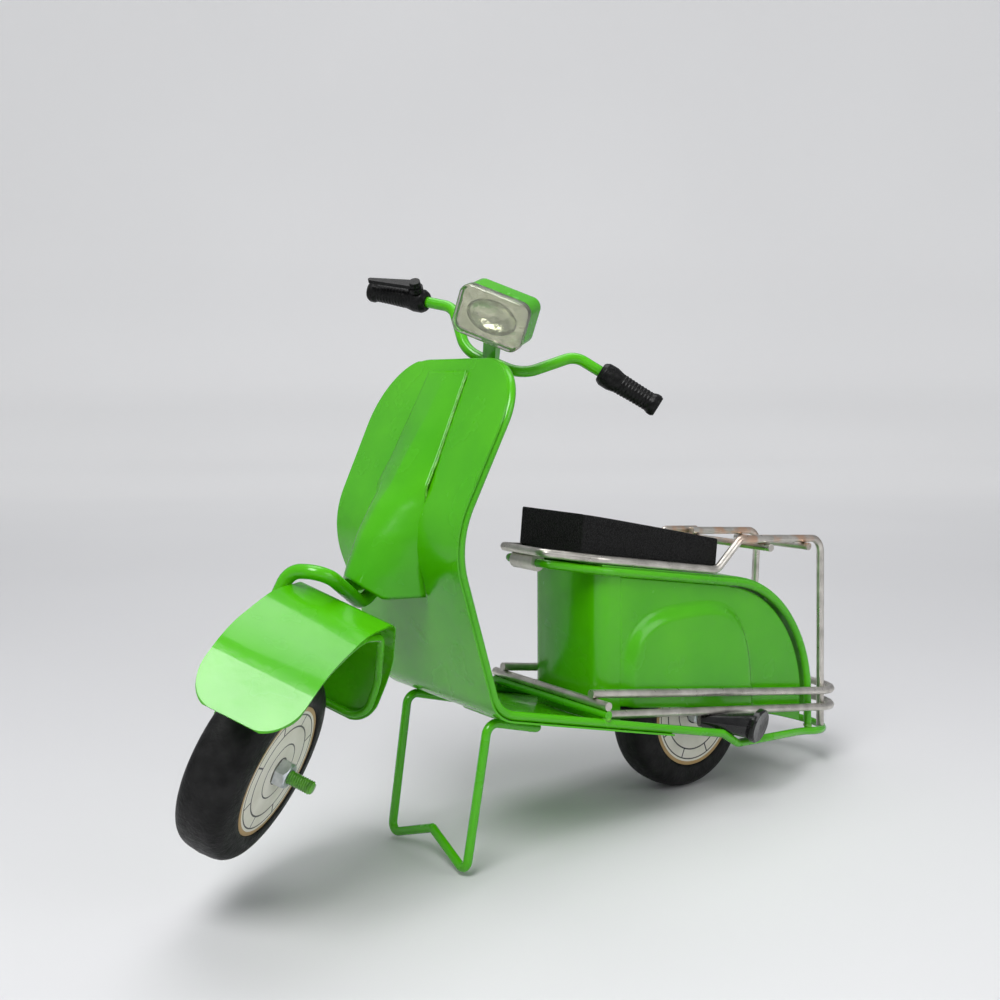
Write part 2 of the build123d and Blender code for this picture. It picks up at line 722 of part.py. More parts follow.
loop_wire = 1.6
loop_inset = loop_wire + 0.1
loop_side = shifted(fender_corners, -loop_inset)
loop_y = fender_half - loop_wire - 0.6
loop_half_rod = wire_rod(
    [
        (loop_side[0][0] + 3.5, 0, loop_side[0][1] + 2.7),
        (loop_side[0][0] + 3.5, loop_y, loop_side[0][1] + 2.7),
        in_side(loop_side[1], loop_y),
        in_side(loop_side[2], loop_y),
        (-212.0, loop_y, 119.0),
        (-197.5, loop_y, 92.0),
        (loop_side[5][0] + 0.2, loop_y, loop_side[5][1] + 3.0),
        (loop_side[5][0] + 0.2, 0, loop_side[5][1] + 3.0),
    ],
    loop_wire,
    [9.0, 30.0, 40.0, 12.0, 15.0, 9.0],
)
save("fender_loop_wire", steered(left_right(loop_half_rod)))

# ---------------------------------------------------------------- headlight
lamp_width = 32.0
lamp_height = 21.8
lamp_corner = 5.0
lens_thickness = 4.5
housing_depth = 15.0
lamp_centre = (-147.2, 0, 240.6)
lamp_tilt = 8.2
tilt = math.radians(lamp_tilt)
lamp_plane = Plane(
    origin=lamp_centre,
    x_dir=(0, -1, 0),
    z_dir=(-math.cos(tilt), 0, -math.sin(tilt)),
)


def lamp_block(width, height, corner_radius, front, back):
    """A rounded block of the lamp between two depths behind its face."""
    shape = RectangleRounded(width, height, corner_radius)
    return Pos(0, 0, -back) * extrude(shape, amount=back - front)


lens = lamp_block(lamp_width, lamp_height, lamp_corner, 0, lens_thickness)
lens = fillet(lens.faces().sort_by(Axis.Z)[-1].edges(), 1.2)
save("headlight_lens", steered(Part((lamp_plane * lens).wrapped)))
housing_back = lens_thickness + housing_depth
housing = lamp_block(lamp_width - 1.0, lamp_height - 1.0, lamp_corner - 0.5, lens_thickness, housing_back)
housing = fillet(housing.faces().sort_by(Axis.Z)[0].edges(), 2.5)
housing_room = lamp_block(
    lamp_width - 1.0 - 2 * sheet,
    lamp_height - 1.0 - 2 * sheet,
    lamp_corner - 0.5 - sheet,
    lens_thickness,
    housing_back - sheet - 1.5,
)
save("headlight_housing", steered(Part((lamp_plane * (housing - housing_room)).wrapped)))
reflector_depth = 7.0
reflector = lamp_block(
    lamp_width - 1.2 - 2 * sheet,
    lamp_height - 1.2 - 2 * sheet,
    lamp_corner - 0.6 - sheet,
    lens_thickness + 0.1,
    lens_thickness + 0.1 + reflector_depth,
)
bowl = Pos(0, 0, -lens_thickness) * scale(Sphere(1), by=(11.5, 7.2, 5.6))
save("headlight_reflector", steered(Part((lamp_plane * (reflector - bowl)).wrapped)))

bracket_half = 3.0
housing_under = Vector(*lamp_centre) + Vector(math.cos(tilt), 0, math.sin(tilt)) * (lens_thickness + 7.0)
housing_under = housing_under + Vector(math.sin(tilt), 0, -math.cos(tilt)) * (lamp_height / 2 - 0.5)
bracket_foot = (bar_centre[0] - bar_radius - 0.5, bar_centre[2] + 0.4)
bracket_side = [
    (housing_under.X - 3.0, housing_under.Z - 0.5),
    (housing_under.X + 4.0, housing_under.Z + 0.45),
    (bracket_foot[0], bracket_foot[1] + 2.0),
    (bracket_foot[0], bracket_foot[1] - 1.6),
    (bracket_foot[0] - 3.0, bracket_foot[1] - 1.2),
]
save("headlight_bracket", steered(side_prism(bracket_side, bracket_half)))

# ---------------------------------------------------------------- grips and brake lever
grip_run = grip_end - grip_start
grip_length = grip_run.length
grip_profile = [
    (bar_radius, 0),
    (4.4, 0),
    (5.5, 1.5),
    (5.5, 6.5),
    (4.7, 9.5),
    (4.3, grip_length - 4.5),
    (4.9, grip_length - 3.2),
    (5.0, grip_length - 1.0),
    (4.2, grip_length),
    (0, grip_length),
    (0, grip_length - 2.9),
    (bar_radius, grip_length - 2.9),
]
right_grip = turned_profile(grip_profile, tuple(grip_start), grip_run.normalized())
save("grip_right", steered(right_grip))
save("grip_left", steered(other_side(right_grip)))

perch_radius = 3.4
pin_radius = 0.9
lever_gap = 0.15
grip_dir = grip_run.normalized()
lever_up = Vector(-0.55, 0, 0.835)
lever_up = (lever_up - grip_dir * lever_up.dot(grip_dir)).normalized()
perch_seat = grip_start + grip_dir * 5.0
perch_low = perch_seat + lever_up * 5.55
perch_high = perch_seat + lever_up * 7.6
perch = shaft(perch_radius, tuple(perch_low), tuple(perch_high))
save("lever_perch", steered(perch))
lever_thickness = 1.8
pin_top = perch_high + lever_up * (lever_thickness + 2 * lever_gap)
pin = shaft(pin_radius, tuple(perch_high + lever_up * 0.02), tuple(pin_top))
pin_head = shaft(perch_radius - 0.9, tuple(pin_top), tuple(pin_top + lever_up * 1.0))
save("lever_pin", steered(Part((pin + pin_head).wrapped)))
lever_plane = Plane(
    origin=tuple(perch_high + lever_up * lever_gap),
    x_dir=tuple(grip_dir),
    z_dir=tuple(lever_up),
)
lever_length = 22.0
lever_sweep = 3.0
lever_face = make_hull([Circle(2.6).edge(), (Pos(lever_length, lever_sweep) * Circle(1.0)).edge()])
lever_face = lever_face - Circle(pin_radius + running_clearance)
lever = extrude(lever_face, amount=lever_thickness)
save("brake_lever", steered(Part((lever_plane * lever).wrapped)))
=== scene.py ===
# %% [markdown]
# A hand-made sheet metal scooter
#
# The real object is bent from tin sheet and steel wire, brazed together and sprayed lime green.
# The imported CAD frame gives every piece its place. This file adds the finishes and remakes the
# pieces that need softer shapes: tyres, printed discs, threads, grips, seat, bulged panels and welds.

# %% Load the frame
import json
import math

import bmesh
import bpy
import numpy as np
from mathutils import Matrix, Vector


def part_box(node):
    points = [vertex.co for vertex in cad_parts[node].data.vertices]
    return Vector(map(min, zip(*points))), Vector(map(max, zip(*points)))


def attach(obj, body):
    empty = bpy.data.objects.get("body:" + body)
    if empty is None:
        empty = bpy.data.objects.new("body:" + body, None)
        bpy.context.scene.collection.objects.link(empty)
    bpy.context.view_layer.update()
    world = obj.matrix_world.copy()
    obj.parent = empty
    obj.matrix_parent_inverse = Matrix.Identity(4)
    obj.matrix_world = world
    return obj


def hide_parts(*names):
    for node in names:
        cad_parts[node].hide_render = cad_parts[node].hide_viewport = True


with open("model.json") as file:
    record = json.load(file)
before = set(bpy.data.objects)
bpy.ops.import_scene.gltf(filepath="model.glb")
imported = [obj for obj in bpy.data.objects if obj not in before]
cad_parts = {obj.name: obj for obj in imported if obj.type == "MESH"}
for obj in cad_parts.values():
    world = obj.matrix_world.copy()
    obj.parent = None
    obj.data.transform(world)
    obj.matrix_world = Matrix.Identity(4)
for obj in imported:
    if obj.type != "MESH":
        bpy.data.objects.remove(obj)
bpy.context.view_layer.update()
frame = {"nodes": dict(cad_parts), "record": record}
nodes = frame["nodes"]
slots = {entry["node"]: entry["material_slot"] for entry in frame["record"]["subparts"]}
joints = {joint["name"]: joint for joint in frame["record"]["behaviour"]["joints"]}

# %% [markdown]
# Most new pieces are grids of points. One helper turns a grid into a mesh, closes it along
# either direction, stores a UV map when one is given, and shades it smooth.

# %% Mesh helpers


def mesh_piece(name, points, faces, body, uv=None, smooth=True):
    """Make a mesh object from point and face arrays and let it ride on a body."""
    mesh = bpy.data.meshes.new(name)
    mesh.from_pydata([tuple(p) for p in points], [], [tuple(f) for f in faces])
    mesh.polygons.foreach_set("use_smooth", [smooth] * len(mesh.polygons))
    if uv is not None:
        layer = mesh.uv_layers.new(name="pattern")
        corner = np.empty(len(mesh.loops), dtype=np.int32)
        mesh.loops.foreach_get("vertex_index", corner)
        layer.data.foreach_set("uv", np.asarray(uv)[corner].ravel())
    mesh.update()
    piece = bpy.data.objects.new(name, mesh)
    bpy.context.scene.collection.objects.link(piece)
    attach(piece, body)
    return piece


def grid_faces(rows, columns, wrap_rows=False, wrap_columns=False):
    """Quads of a grid: each joins a point to its next row and next column."""
    row_count = rows if wrap_rows else rows - 1
    column_count = columns if wrap_columns else columns - 1
    i, j = np.meshgrid(np.arange(row_count), np.arange(column_count), indexing="ij")
    next_i, next_j = (i + 1) % rows, (j + 1) % columns
    quads = [i * columns + j, next_i * columns + j, next_i * columns + next_j, i * columns + next_j]
    return np.stack(quads, axis=-1).reshape(-1, 4)


def unit(vector):
    """A vector divided by its length."""
    vector = np.asarray(vector, dtype=float)
    return vector / np.linalg.norm(vector)


def across(direction):
    """Two unit vectors square to a direction and to each other."""
    direction = unit(direction)
    helper = np.array([0.0, 0.0, 1.0]) if abs(direction[2]) < 0.9 else np.array([1.0, 0.0, 0.0])
    first = unit(np.cross(helper, direction))
    return first, np.cross(direction, first)


def turned_grid(profile, origin, direction, steps):
    """Points of (radius, height) round an axis: origin + height * axis + radius * circle."""
    profile = np.asarray(profile, dtype=float)
    first, second = across(direction)
    angle = np.linspace(0, 2 * np.pi, steps, endpoint=False)
    ring = np.outer(np.cos(angle), first) + np.outer(np.sin(angle), second)
    middle = np.asarray(origin) + profile[:, None, 1:2] * unit(direction)
    points = middle + profile[:, None, 0:1] * ring[None]
    return points.reshape(-1, 3)


def turned_piece(name, profile, origin, direction, body, steps):
    """A turned piece whose profile wraps back to its first point."""
    points = turned_grid(profile, origin, direction, steps)
    faces = grid_faces(len(profile), steps, wrap_rows=True, wrap_columns=True)[:, ::-1]
    return mesh_piece(name, points, faces, body)


def fix_normals(piece):
    """Turn every face outwards on a closed piece."""
    work = bmesh.new()
    work.from_mesh(piece.data)
    bmesh.ops.remove_doubles(work, verts=work.verts, dist=1e-7)
    bmesh.ops.recalc_face_normals(work, faces=work.faces)
    work.to_mesh(piece.data)
    work.free()


# %% [markdown]
# The steering frame is turned to the left at rest. Points written for the straight-ahead
# position are turned about the steering axis with the rotation formula.

# %% Steering frame
steer_point = np.array(joints["steering_turn"]["pos_m"])
steer_axis = unit(joints["steering_turn"]["axis"])
rest_angle = -math.radians(joints["steering_turn"]["range_deg"][0]) / 2


def steered(points):
    """Turn straight-ahead points (metres) to the rest position about the steering axis."""
    p = np.atleast_2d(np.asarray(points, dtype=float)) - steer_point
    along = (p @ steer_axis)[:, None] * steer_axis
    crossed = np.cross(steer_axis, p)
    turned = p * math.cos(rest_angle) + crossed * math.sin(rest_angle) + along * (1 - math.cos(rest_angle))
    return turned + steer_point


front_axis = unit(joints["front_wheel_spin"]["axis"])
front_hub = np.array(joints["front_wheel_spin"]["pos_m"])
rear_hub = np.array(joints["rear_wheel_spin"]["pos_m"])
rear_axis = np.array([0.0, 1.0, 0.0])
print("rest angle", round(math.degrees(rest_angle), 2), "front hub", front_hub)

# %% [markdown]
# Finishes. The green is a sprayed gloss enamel with slight runs and specks, so the paint has
# a clear coat, a soft cloudy colour change and a fine orange-peel bump. The same small
# helpers build every material: noise on Object coordinates feeds a colour ramp and a bump.

# %% Material helpers


def new_material(name):
    """An empty node material with its Principled shader."""
    material = bpy.data.materials.new(name)
    material.use_nodes = True
    shader = material.node_tree.nodes["Principled BSDF"]
    return material, material.node_tree, shader


def noise(tree, scale, detail=3.0):
    """A noise texture on the piece's own coordinates."""
    place = tree.nodes.new("ShaderNodeTexCoord")
    texture = tree.nodes.new("ShaderNodeTexNoise")
    texture.inputs["Scale"].default_value = scale
    texture.inputs["Detail"].default_value = detail
    texture.inputs["Roughness"].default_value = 0.5
    tree.links.new(place.outputs["Object"], texture.inputs["Vector"])
    return texture.outputs["Fac"]


def ramp(tree, factor, stops):
    """A colour ramp with the given (position, colour) stops."""
    node = tree.nodes.new("ShaderNodeValToRGB")
    elements = node.color_ramp.elements
    elements[0].position, elements[0].color = stops[0][0], (*stops[0][1], 1)
    elements[1].position, elements[1].color = stops[-1][0], (*stops[-1][1], 1)
    for position, colour in stops[1:-1]:
        element = elements.new(position)
        element.color = (*colour, 1)
    tree.links.new(factor, node.inputs["Fac"])
    return node.outputs["Color"]


def bump(tree, shader, height, distance, strength=1.0, before=None):
    """A bump that feeds the shader's normal, on top of an earlier one if given."""
    node = tree.nodes.new("ShaderNodeBump")
    node.inputs["Distance"].default_value = distance
    node.inputs["Strength"].default_value = strength
    tree.links.new(height, node.inputs["Height"])
    if before is not None:
        tree.links.new(before, node.inputs["Normal"])
    tree.links.new(node.outputs["Normal"], shader.inputs["Normal"])
    return node.outputs["Normal"]


def simple_finish(name, dark, light, scale, rough, bump_scale, bump_depth, metallic=0.0, coat=0.0):
    """A finish with a cloudy colour, uneven gloss and a fine bump."""
    material, tree, shader = new_material(name)
    cloud = noise(tree, scale)
    tree.links.new(ramp(tree, cloud, [(0.3, dark), (0.7, light)]), shader.inputs["Base Color"])
    gloss = ramp(tree, noise(tree, scale * 2.3), [(0.3, (rough[0],) * 3), (0.7, (rough[1],) * 3)])
    tree.links.new(gloss, shader.inputs["Roughness"])
    shader.inputs["Metallic"].default_value = metallic
    shader.inputs["Coat Weight"].default_value = coat
    shader.inputs["Coat Roughness"].default_value = 0.04
    shader.inputs["Specular IOR Level"].default_value = 0.32 if max(light) > 0.1 else 0.12
    bump(tree, shader, noise(tree, bump_scale, 4.0), bump_depth)
    return material


# %% [markdown]
# Plain finishes first: each has a dark and a light colour, the size of its clouds, its least
# and greatest roughness, and the size and depth of its bump. Wire, leatherette, wheel print
# and lens need more, so each has a function of its own.

# %% Enamel, steel, rubber and the other finishes
green = simple_finish(
    "green_paint", (0.048, 0.34, 0.0005), (0.072, 0.42, 0.001),
    22, (0.20, 0.30), 260, 0.00010, coat=0.25)
weld_green = simple_finish(
    "green_weld", (0.045, 0.22, 0.006), (0.12, 0.46, 0.014),
    420, (0.2, 0.4), 700, 0.0007, coat=0.6)
zinc = simple_finish(
    "zinc", (0.50, 0.54, 0.58), (0.70, 0.73, 0.76),
    300, (0.28, 0.42), 900, 0.00005, metallic=1.0)
rod_green = simple_finish(
    "axle_rod", (0.06, 0.27, 0.01), (0.12, 0.44, 0.02),
    350, (0.25, 0.4), 800, 0.00008, coat=0.5)
tyre_black = simple_finish(
    "tyre", (0.006, 0.006, 0.006), (0.016, 0.016, 0.016),
    160, (0.38, 0.55), 700, 0.00025)
core_black = simple_finish(
    "wheel_core", (0.01, 0.01, 0.01), (0.02, 0.02, 0.02),
    120, (0.4, 0.6), 500, 0.0001)
grip_black = simple_finish(
    "grip_rubber", (0.004, 0.004, 0.004), (0.012, 0.012, 0.012),
    500, (0.22, 0.38), 900, 0.00012)
lever_black = simple_finish(
    "lever_plastic", (0.004, 0.004, 0.004), (0.01, 0.01, 0.01),
    300, (0.18, 0.3), 700, 0.00008)
gloss_black = simple_finish(
    "black_gloss", (0.004, 0.004, 0.004), (0.012, 0.012, 0.012),
    200, (0.15, 0.3), 330, 0.0005, coat=0.6)
board = simple_finish(
    "seat_board", (0.02, 0.014, 0.01), (0.05, 0.035, 0.025),
    90, (0.6, 0.8), 300, 0.0002)
chrome = simple_finish(
    "reflector", (0.55, 0.57, 0.52), (0.80, 0.82, 0.76),
    180, (0.08, 0.22), 420, 0.0006, metallic=1.0)


def steel_finish():
    """Bare wire: warm grey steel, with a copper heat tint where the rack's bends were brazed."""
    material, tree, shader = new_material("bare_wire")
    base = ramp(tree, noise(tree, 130), [(0.3, (0.42, 0.40, 0.36)), (0.7, (0.66, 0.63, 0.58))])
    place = tree.nodes.new("ShaderNodeTexCoord")
    split = tree.nodes.new("ShaderNodeSeparateXYZ")
    tree.links.new(place.outputs["Object"], split.inputs["Vector"])
    high = tree.nodes.new("ShaderNodeMapRange")
    high.inputs["From Min"].default_value = 0.119
    high.inputs["From Max"].default_value = 0.126
    tree.links.new(split.outputs["Z"], high.inputs["Value"])
    rearward = tree.nodes.new("ShaderNodeMapRange")
    rearward.inputs["From Min"].default_value = 0.005
    rearward.inputs["From Max"].default_value = 0.022
    tree.links.new(split.outputs["X"], rearward.inputs["Value"])
    both = tree.nodes.new("ShaderNodeMath")
    both.operation = "MULTIPLY"
    tree.links.new(high.outputs["Result"], both.inputs[0])
    tree.links.new(rearward.outputs["Result"], both.inputs[1])
    patch = tree.nodes.new("ShaderNodeMath")
    patch.operation = "MULTIPLY"
    patch_noise = ramp(tree, noise(tree, 85), [(0.46, (0.0,) * 3), (0.60, (0.75,) * 3)])
    tree.links.new(both.outputs[0], patch.inputs[0])
    tree.links.new(patch_noise, patch.inputs[1])
    tint = tree.nodes.new("ShaderNodeMix")
    tint.data_type = "RGBA"
    tint.inputs[7].default_value = (0.62, 0.36, 0.22, 1)
    tree.links.new(patch.outputs[0], tint.inputs[0])
    tree.links.new(base, tint.inputs[6])
    tree.links.new(tint.outputs[2], shader.inputs["Base Color"])
    gloss = ramp(tree, noise(tree, 240), [(0.3, (0.26,) * 3), (0.7, (0.42,) * 3)])
    tree.links.new(gloss, shader.inputs["Roughness"])
    shader.inputs["Metallic"].default_value = 0.9
    bump(tree, shader, noise(tree, 600, 3.0), 0.00006)
    return material


def leather_finish():
    """Black pebbled leatherette: Voronoi cells for the pebbles, with dull valleys."""
    material, tree, shader = new_material("leatherette")
    place = tree.nodes.new("ShaderNodeTexCoord")
    cells = tree.nodes.new("ShaderNodeTexVoronoi")
    cells.feature = "SMOOTH_F1"
    cells.inputs["Scale"].default_value = 1500
    cells.inputs["Smoothness"].default_value = 0.6
    tree.links.new(place.outputs["Object"], cells.inputs["Vector"])
    colour = ramp(tree, cells.outputs["Distance"], [(0.1, (0.013,) * 3), (0.7, (0.004,) * 3)])
    tree.links.new(colour, shader.inputs["Base Color"])
    gloss = ramp(tree, cells.outputs["Distance"], [(0.1, (0.34,) * 3), (0.7, (0.62,) * 3)])
    tree.links.new(gloss, shader.inputs["Roughness"])
    invert = tree.nodes.new("ShaderNodeMath")
    invert.operation = "SUBTRACT"
    invert.inputs[0].default_value = 1.0
    tree.links.new(cells.outputs["Distance"], invert.inputs[1])
    fine = bump(tree, shader, invert.outputs[0], 0.00035, 0.9)
    bump(tree, shader, noise(tree, 60), 0.0006, 0.6, before=fine)
    shader.inputs["Specular IOR Level"].default_value = 0.12
    return material


def print_finish():
    """Cream wheel print. UV holds (share of the radius, share of a turn): rings, lines, gold rim."""
    material, tree, shader = new_material("printed_disc")
    place = tree.nodes.new("ShaderNodeTexCoord")
    split = tree.nodes.new("ShaderNodeSeparateXYZ")
    tree.links.new(place.outputs["UV"], split.inputs["Vector"])

    def maths(operation, first, second=None):
        """One Math node fed by numbers or by other nodes' outputs."""
        node = tree.nodes.new("ShaderNodeMath")
        node.operation = operation
        for index, value in enumerate((first, second)):
            if value is None:
                continue
            if isinstance(value, (int, float)):
                node.inputs[index].default_value = value
            else:
                tree.links.new(value, node.inputs[index])
        return node.outputs[0]

    radius = split.outputs["X"]
    turn = split.outputs["Y"]
    outer_ring, inner_ring, gold_from, line_count, line_half = 0.885, 0.70, 0.935, 8.0, 0.017
    ink = None
    for ring_radius, half_width in ((outer_ring, 0.011), (inner_ring, 0.013), (0.42, 0.011), (0.20, 0.012)):
        line = maths("LESS_THAN", maths("ABSOLUTE", maths("SUBTRACT", radius, ring_radius)), half_width)
        ink = line if ink is None else maths("MAXIMUM", ink, line)
    spoke = maths("ABSOLUTE", maths("SUBTRACT", maths("FRACT", maths("MULTIPLY", turn, line_count)), 0.5))
    spoke = maths("LESS_THAN", maths("MULTIPLY", spoke, radius), line_half)
    beyond_inner = maths("GREATER_THAN", radius, inner_ring)
    band = maths("MULTIPLY", beyond_inner, maths("LESS_THAN", radius, outer_ring))
    ink = maths("MAXIMUM", ink, maths("MULTIPLY", spoke, band))
    paper = ramp(tree, noise(tree, 90), [(0.3, (0.66, 0.64, 0.54)), (0.7, (0.78, 0.76, 0.67))])
    gold = tree.nodes.new("ShaderNodeMix")
    gold.data_type = "RGBA"
    gold.inputs[7].default_value = (0.42, 0.27, 0.10, 1)
    tree.links.new(maths("GREATER_THAN", radius, gold_from), gold.inputs[0])
    tree.links.new(paper, gold.inputs[6])
    drawn = tree.nodes.new("ShaderNodeMix")
    drawn.data_type = "RGBA"
    drawn.inputs[7].default_value = (0.008, 0.008, 0.008, 1)
    tree.links.new(ink, drawn.inputs[0])
    tree.links.new(gold.outputs[2], drawn.inputs[6])
    tree.links.new(drawn.outputs[2], shader.inputs["Base Color"])
    shader.inputs["Roughness"].default_value = 0.32
    bump(tree, shader, noise(tree, 400), 0.00004)
    return material


def lens_finish():
    """Clear resin, slightly grey-yellow, with soft ripples."""
    material, tree, shader = new_material("lens")
    tint = ramp(tree, noise(tree, 260), [(0.3, (0.74, 0.75, 0.62)), (0.7, (0.88, 0.88, 0.78))])
    tree.links.new(tint, shader.inputs["Base Color"])
    shader.inputs["Transmission Weight"].default_value = 0.94
    shader.inputs["IOR"].default_value = 1.46
    gloss = ramp(tree, noise(tree, 330), [(0.35, (0.02,) * 3), (0.7, (0.10,) * 3)])
    tree.links.new(gloss, shader.inputs["Roughness"])
    bump(tree, shader, noise(tree, 380, 2.0), 0.0003, 0.6)
    return material


steel = steel_finish()
leather = leather_finish()
printed = print_finish()
lens_resin = lens_finish()
finishes = {
    "green_paint": green, "zinc": zinc, "axle_rod": rod_green, "tyre": tyre_black, "wheel_core": core_black,
    "grip_rubber": grip_black, "lever_plastic": lever_black, "black_gloss": gloss_black, "seat_board": board,
    "reflector": chrome, "bare_wire": steel, "leatherette": leather, "printed_disc": printed,
    "lens": lens_resin,
}
print("finishes", len(finishes))

# %% [markdown]
# Every CAD piece that stays gets the finish of its slot. The mesh itself isn't touched.

# %% Dress the CAD pieces


def dress(piece, material):
    """Put one material on all of a piece's slots."""
    if not piece.material_slots:
        piece.data.materials.append(material)
    for slot_entry in piece.material_slots:
        slot_entry.material = material


for node_name, node in nodes.items():
    dress(node, finishes[slots[node_name]])

# %% [markdown]
# Tyres are solid moulded rubber with rounded shoulders and a faint parting line round the
# middle. The profile is a superellipse, x^n + y^n = 1, which gives a flat tread that rolls
# over into the sides; a small ridge stands at the middle.

# %% Tyres and printed discs
tyre_low, tyre_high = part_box("rear_wheel_tyre")
wheel_radius = (tyre_high[2] - tyre_low[2]) / 2
tyre_half = (tyre_high[1] - tyre_low[1]) / 2
disc_low, disc_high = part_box("rear_wheel_disc_left")
disc_radius = (disc_high[0] - disc_low[0]) / 2
core_low, core_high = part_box("rear_wheel_core")
core_radius = (core_high[0] - core_low[0]) / 2
disc_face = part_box("rear_wheel_disc_right")[1][1]


def tyre_profile():
    """Half-superellipse over the tread, then straight down the inner wall: (radius, height)."""
    angle = np.linspace(0, np.pi, 49)
    squareness, seam_height, seam_half = 3.4, 0.0002, 0.0006
    power = 2 / squareness
    across_tread = np.cos(angle)
    height = np.sign(across_tread) * np.abs(across_tread) ** power * tyre_half
    depth = wheel_radius - core_radius
    radius = core_radius + np.abs(np.sin(angle)) ** power * (depth - seam_height)
    radius = radius + seam_height * np.exp(-(height / seam_half) ** 2)
    return np.column_stack([radius, height])


def make_wheel(side, hub, axis, body):
    """Tyre and the two printed discs of one wheel."""
    tyre = turned_piece(side + "_tyre_skin", tyre_profile(), hub, axis, body, 160)
    fix_normals(tyre)
    dress(tyre, tyre_black)
    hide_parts(side + "_wheel_tyre")
    for label, sign in (("left", -1), ("right", 1)):
        radii = np.array([0.0036, 0.0036, 0.010, 0.019, 0.0265, disc_radius, disc_radius])
        heights = disc_face - np.array([0.0004, 0, 0, 0, 0, 0.00005, 0.0004])
        steps = 160
        first, second = across(axis)
        angle = np.linspace(0, 2 * np.pi, steps + 1)
        ring = np.outer(np.cos(angle), first) + np.outer(np.sin(angle), second)
        points = hub + sign * heights[:, None, None] * axis + radii[:, None, None] * ring[None]
        share_out, share_round = radii[:, None] / disc_radius, angle[None] / (2 * np.pi)
        uv = np.stack(np.broadcast_arrays(share_out, share_round), axis=-1)
        faces = grid_faces(len(radii), steps + 1)
        if sign > 0:
            faces = faces[:, ::-1]
        name = side + "_disc_print_" + label
        disc = mesh_piece(
            name, points.reshape(-1, 3), faces, body, uv.reshape(-1, 2), smooth=False)
        dress(disc, printed)
        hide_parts(side + "_wheel_disc_" + label)


make_wheel("rear", rear_hub, rear_axis, "rear_wheel")
make_wheel("front", front_hub, front_axis, "front_wheel")
print("wheels", round(wheel_radius, 4), "discs", round(disc_radius, 4))

# %% [markdown]
# The front axle is cut from threaded rod, and its free end shows past the nut. The thread is
# a cylinder whose radius follows a triangle wave of height minus turn, so the ridges climb
# as one helix. The pitch of 6 mm rod is 1 mm.

# %% Threaded axle
axle_radius = 0.0029
axle_x, axle_z, axle_near_y = -0.2413, 0.0625, -0.0208
wheel_y, nut_offset, nut_height, tab_gap, tab_thickness = 0.0062, 0.0115, 0.005, 0.0001, 0.003
axle_far_y = wheel_y + nut_offset + nut_height + tab_gap + tab_thickness
axle_near = steered(np.array([axle_x, axle_near_y, axle_z]))[0]
axle_far = steered(np.array([axle_x, axle_far_y, axle_z]))[0]


def threaded_rod(name, start, end, body, pitch=0.001, depth=0.00045, steps=28):
    """Cylinder with radius r - depth * triangle(height / pitch - turn)."""
    run = np.asarray(end) - np.asarray(start)
    length = np.linalg.norm(run)
    rows = int(length / pitch * 6)
    height = np.linspace(0, length, rows)
    angle = np.linspace(0, 2 * np.pi, steps, endpoint=False)
    h, a = np.meshgrid(height, angle, indexing="ij")
    phase = np.mod(h / pitch - a / (2 * np.pi), 1.0)
    radius = axle_radius - depth * np.abs(2 * phase - 1)
    chamfer = np.minimum(1.0, (0.75 + 0.25 * np.minimum(h, length - h) / 0.0007))
    radius = radius * chamfer
    first, second = across(run)
    ring = np.cos(a)[..., None] * first + np.sin(a)[..., None] * second
    body_points = np.asarray(start) + h[..., None] * unit(run) + radius[..., None] * ring
    points = np.vstack([body_points.reshape(-1, 3), start, end])
    quads = grid_faces(rows, steps, wrap_columns=True)
    j = np.arange(steps)
    cap_start = np.stack([np.full(steps, rows * steps), j, (j + 1) % steps], axis=-1)
    last = (rows - 1) * steps
    cap_end = np.stack([np.full(steps, rows * steps + 1), last + (j + 1) % steps, last + j], axis=-1)
    faces = [*quads[:, ::-1], *cap_start[:, ::-1], *cap_end[:, ::-1]]
    piece = mesh_piece(name, points, faces, body)
    fix_normals(piece)
    return piece


front_rod = threaded_rod("front_axle_thread", axle_near, axle_far, "steering")
dress(front_rod, rod_green)
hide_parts("front_axle")
print("axle length", round(float(np.linalg.norm(axle_far - axle_near)), 4))

# %% [markdown]
# Side panels are pressed tin with one large bulge. The panel is a height field: the bulge
# height follows a smooth step of a superellipse's value, which gives a flat-topped dome with
# an even rolled edge. The outline follows the body wire: a straight slope, then a large arc.

# %% Side panels
panel_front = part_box("side_panel_right")[0][0]
panel_rear, panel_skin, tin, bulge_height = 0.0655, 0.0250, 0.0008, 0.0034
body_top, body_slope = 0.1104, 0.165
arch_centre = np.array([-0.00224, 0.0394])
wire_clear = 0.0021
arch_radius = 0.070 - wire_clear


def panel_top(x):
    """Straight slope of the body wire, then the arc down to the tail."""
    straight = body_top - wire_clear - body_slope * x
    inside = np.clip(arch_radius ** 2 - (x - arch_centre[0]) ** 2, 0, None)
    arc = arch_centre[1] + np.sqrt(inside)
    return np.where(x < 0.009, straight, np.minimum(straight, arc))


def panel_bottom(x):
    """Lower edge above the floor, dropping behind the wheel to the tail wire."""
    return np.interp(x, [-0.066, 0.030, 0.042, panel_rear], [0.0577, 0.0415, 0.0350, 0.0272])


def bulge_shape(x, z):
    """Dome height: smooth step of 1 - superellipse((x - cx) / a, (z - cz) / b)."""
    cx, cz, a, b = -0.0185, 0.052, 0.0435, 0.0475
    tilt = (z - cz) * 0.10
    value = np.abs((x - cx + tilt) / a) ** 3.2 + np.abs((z - cz) / b) ** 3.2
    step = np.clip((1.15 - value) / 0.42, 0, 1)
    return step * step * (3 - 2 * step)


